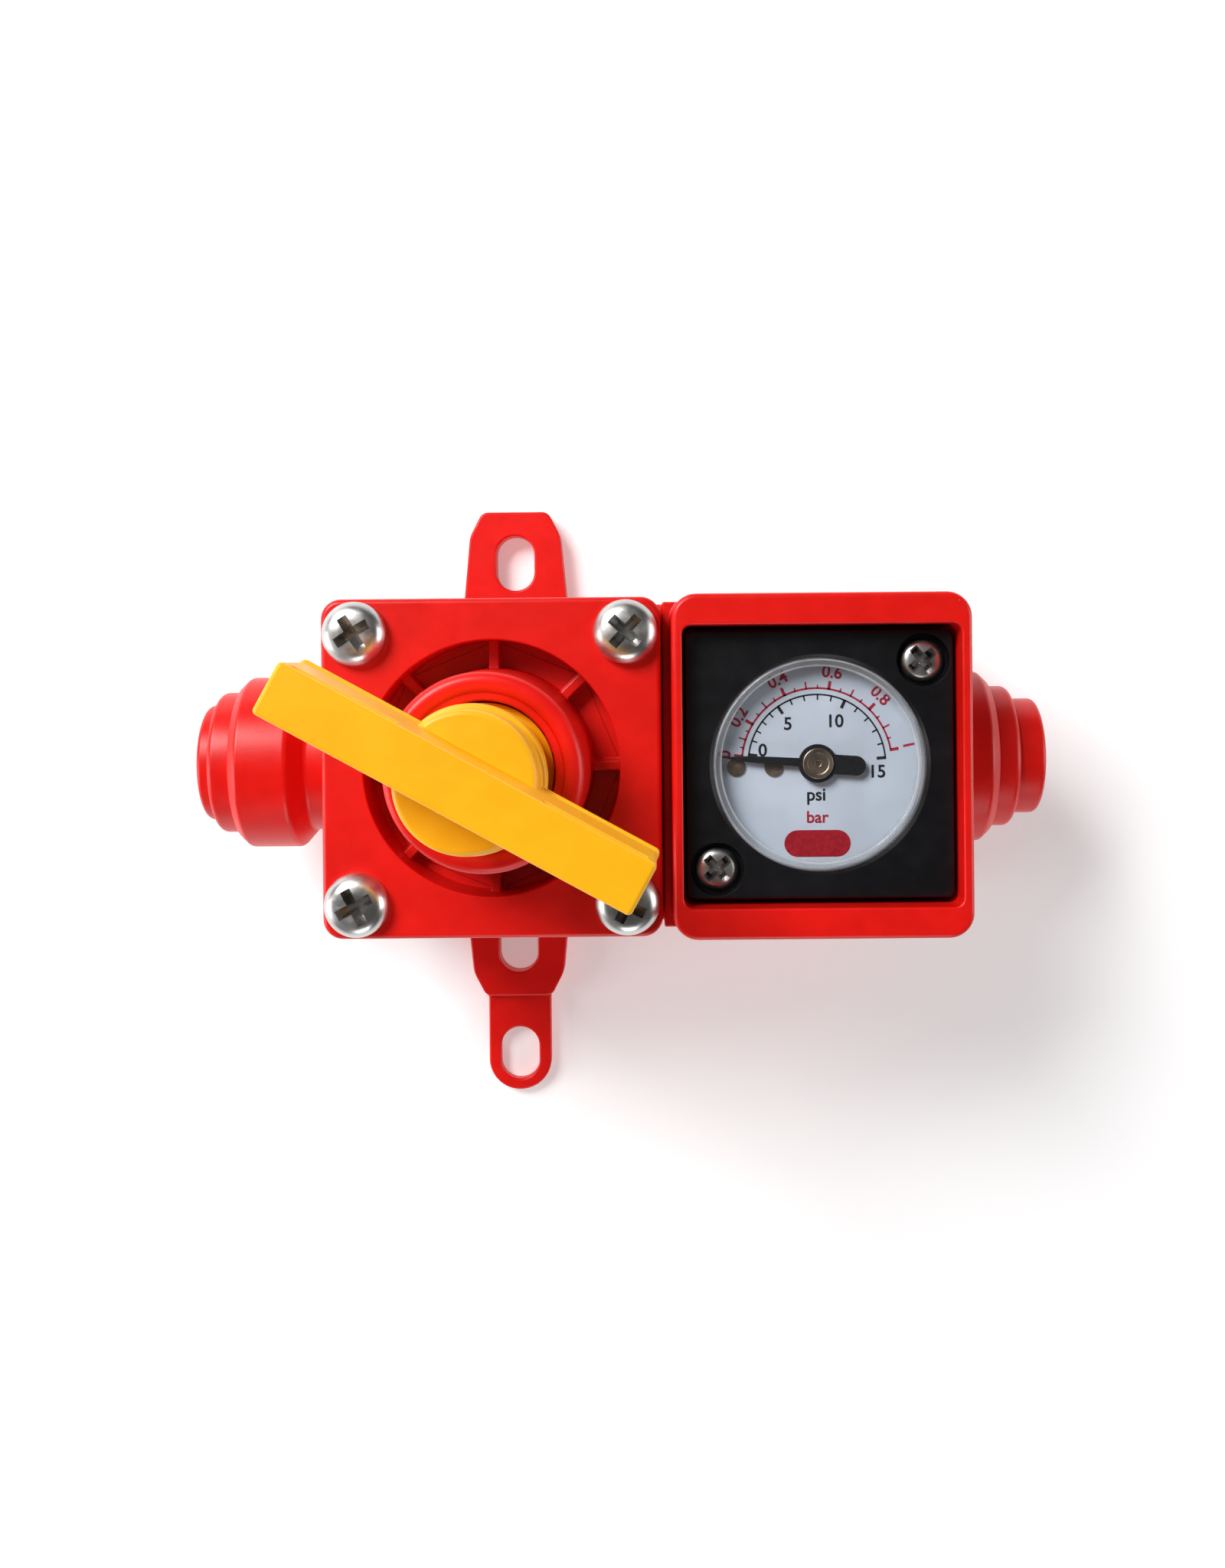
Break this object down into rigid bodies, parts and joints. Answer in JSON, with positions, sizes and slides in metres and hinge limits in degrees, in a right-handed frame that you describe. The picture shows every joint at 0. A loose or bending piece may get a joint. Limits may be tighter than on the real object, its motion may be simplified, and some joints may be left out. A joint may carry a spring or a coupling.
{
  "type": "carbon dioxide regulator",
  "caption": "Compact inline gas pressure regulator with a tee-bar adjusting knob, an embedded square dial gauge, push-in tube fittings and a slotted wall bracket.",
  "frame": {"origin": "on the knob's axis, at the back face that meets the wall", "axes": "+Z out of the front towards the knob, +X along the gas flow towards the gauge and outlet, +Y towards the bracket's short ear"},
  "size_m": [0.0944, 0.0724, 0.0646],
  "materials": {
    "red_plastic": "satin moulded red plastic",
    "yellow_plastic": "satin moulded yellow-orange plastic",
    "stainless": "polished stainless steel",
    "spring_steel": "drawn spring wire",
    "brass": "machined brass",
    "black_plastic": "fine matt black plastic",
    "seal_rubber": "smooth black seal rubber",
    "diaphragm_rubber": "moulded rubber",
    "dial_face": "pale blue-white printed dial",
    "clear_window": "clear polished window",
    "white_plastic": "plain white plastic",
    "pointer_black": "matt black"
  },
  "bodies": {
    "root": {"body": "red_plastic", "bonnet": "red_plastic", "bonnet_screws": "stainless", "range_spring": "spring_steel", "diaphragm": "diaphragm_rubber", "valve_seat": "brass", "seat_o_ring": "seal_rubber", "poppet_spring": "spring_steel", "valve_plug": "brass", "plug_o_ring": "seal_rubber", "gauge_case": "black_plastic", "gauge_bezel": "black_plastic", "gauge_lens": "clear_window", "lens_ring": "black_plastic", "gauge_dial": "dial_face", "dial_rivets": "brass", "bourdon_tube": "brass", "movement_frame": "brass", "gauge_socket": "brass", "gauge_o_ring": "seal_rubber", "gauge_screws": "stainless", "bracket": "red_plastic", "bracket_screws": "stainless", "inlet_cartridge": "red_plastic", "inlet_o_rings": "seal_rubber", "inlet_ring_spacer": "white_plastic", "outlet_cartridge": "red_plastic", "outlet_o_rings": "seal_rubber", "outlet_ring_spacer": "white_plastic"},
    "knob": {"knob": "yellow_plastic"},
    "spring_seat": {"spring_seat": "stainless"},
    "diaphragm_plate": {"diaphragm_plate": "brass"},
    "poppet": {"poppet": "brass", "poppet_seal": "seal_rubber"},
    "pointer": {"gauge_pointer": "pointer_black", "pointer_cap": "brass", "gauge_pinion": "brass"},
    "sector": {"sector_gear": "brass"},
    "link": {"gauge_link": "brass"},
    "inlet_collet": {"inlet_collet": "red_plastic", "inlet_grab_ring": "stainless"},
    "outlet_collet": {"outlet_collet": "red_plastic", "outlet_grab_ring": "stainless"}
  },
  "joints": [
    {"name": "seat_slide", "type": "slide", "parent": "root", "child": "spring_seat", "axis": [0, 0, 1], "range_m": [-0.007, 0], "deforming": ["range_spring"]},
    {"name": "knob_turn", "type": "hinge", "parent": "spring_seat", "child": "knob", "pos_m": [0, 0, 0.045], "axis": [0, 0, 1], "range_deg": [-1260, 0]},
    {"name": "diaphragm_slide", "type": "slide", "parent": "root", "child": "diaphragm_plate", "axis": [0, 0, 1], "range_m": [-0.0006, 0], "deforming": ["diaphragm"]},
    {"name": "poppet_slide", "type": "slide", "parent": "root", "child": "poppet", "axis": [0, 0, 1], "range_m": [-0.0006, 0], "deforming": ["poppet_spring"]},
    {"name": "sector_turn", "type": "hinge", "parent": "root", "child": "sector", "pos_m": [0.0342, -0.00875, 0.0273], "axis": [0, 0, 1], "range_deg": [0, 28.5], "deforming": ["bourdon_tube"]},
    {"name": "pointer_turn", "type": "hinge", "parent": "root", "child": "pointer", "pos_m": [0.0342, 0, 0.0305], "axis": [0, 0, 1], "range_deg": [-171, 0]},
    {"name": "link_swing", "type": "hinge", "parent": "sector", "child": "link", "pos_m": [0.03576, -0.01031, 0.0278], "axis": [0, 0, 1], "range_deg": [-32.5, 0]},
    {"name": "inlet_collet_slide", "type": "slide", "parent": "root", "child": "inlet_collet", "axis": [-1, 0, 0], "range_m": [0, 0.0016]},
    {"name": "outlet_collet_slide", "type": "slide", "parent": "root", "child": "outlet_collet", "axis": [-1, 0, 0], "range_m": [0, 0.0016]}
  ],
  "couplings": [
    {"joint": "seat_slide", "follows": "knob_turn", "m_per_rad": 0.00031831},
    {"joint": "diaphragm_slide", "follows": "knob_turn", "m_per_rad": 0.000027284},
    {"joint": "poppet_slide", "follows": "knob_turn", "m_per_rad": 0.000027284},
    {"joint": "pointer_turn", "follows": "sector_turn", "ratio": -6},
    {"joint": "link_swing", "follows": "sector_turn", "ratio": -1.137}
  ]
}
